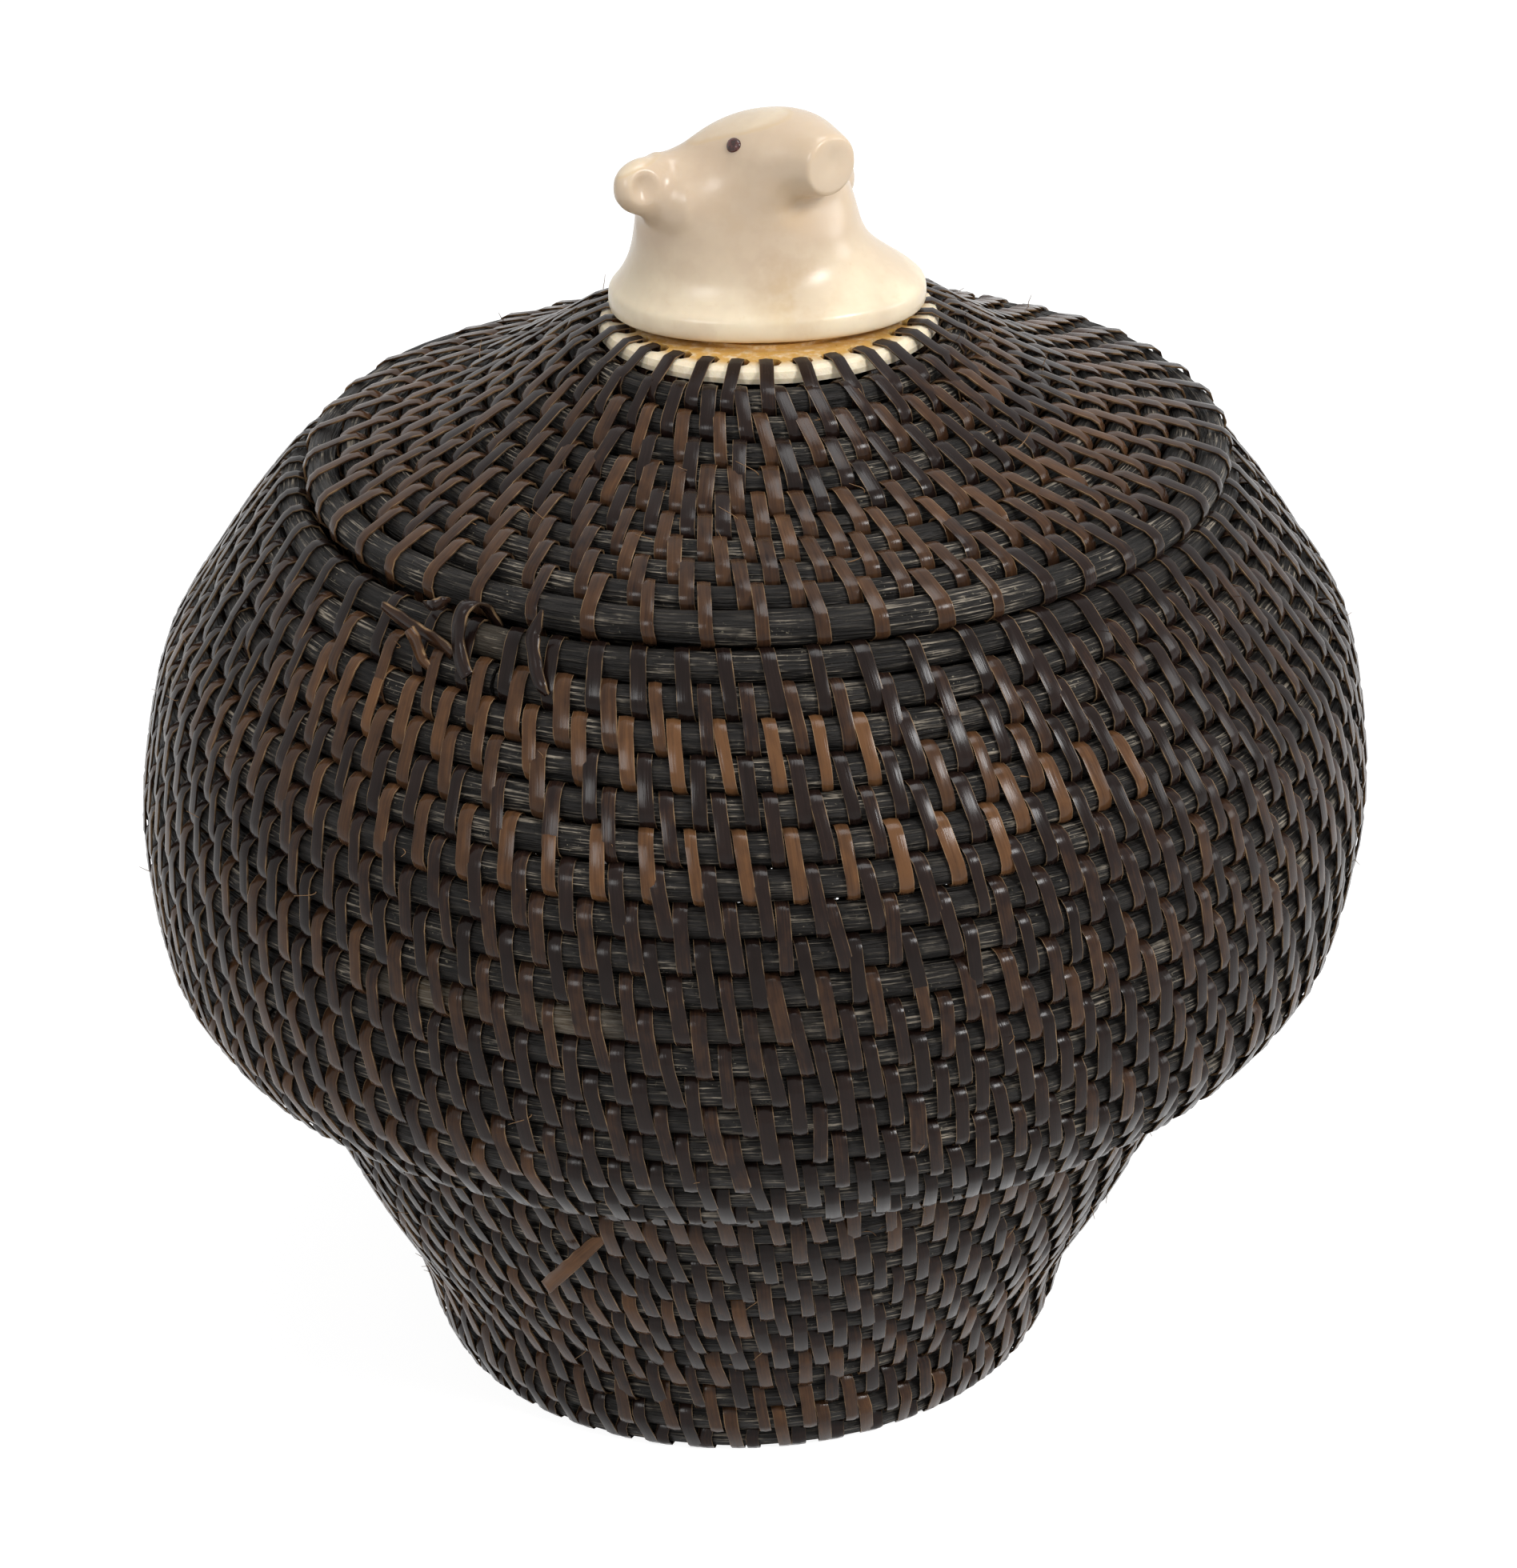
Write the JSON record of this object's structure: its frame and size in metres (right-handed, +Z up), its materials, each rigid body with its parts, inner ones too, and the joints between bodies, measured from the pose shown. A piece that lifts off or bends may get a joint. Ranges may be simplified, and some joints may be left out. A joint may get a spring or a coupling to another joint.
{
  "type": "coiled baleen basket with a lid and a carved finial",
  "caption": "Small covered basket of coiled black baleen, bound with flat baleen strips, with a carved ivory animal-head finial on its lid.",
  "frame": {"origin": "centre of the bounding box on the table that the basket stands on", "axes": "+Z up, -Y towards the pictured side, +X to that side's right"},
  "size_m": [0.0977, 0.0992, 0.1075],
  "materials": {
    "baleen": "satin black baleen rod with fine lengthwise fibres",
    "strip": "glossy dark brown split baleen, translucent amber at its edges",
    "ivory": "polished walrus ivory with warm brown-grey shading",
    "inlay": "polished dark brown inlay"
  },
  "bodies": {
    "basket": {"floor_coil": "baleen", "foot_coil_lower": "baleen", "foot_coil_middle": "baleen", "foot_coil_upper": "baleen", "flare_coil": "baleen", "belly_coil_lower": "baleen", "belly_coil_upper": "baleen", "shoulder_coil": "baleen", "rim_rod": "baleen", "base_disc": "ivory", "base_lacing": "strip"},
    "lid": {"crown_coil": "baleen", "dome_coil": "baleen", "lid_edge_rod": "baleen", "lid_flange_coil": "baleen", "lid_disc": "ivory", "lid_lacing": "strip", "finial": "ivory", "finial_peg": "ivory", "right_eye": "inlay", "left_eye": "inlay"}
  },
  "joints": [
    {"name": "lid_lift", "type": "slide", "parent": "basket", "child": "lid", "axis": [0, 0, 1], "range_m": [0, 0.06]}
  ]
}
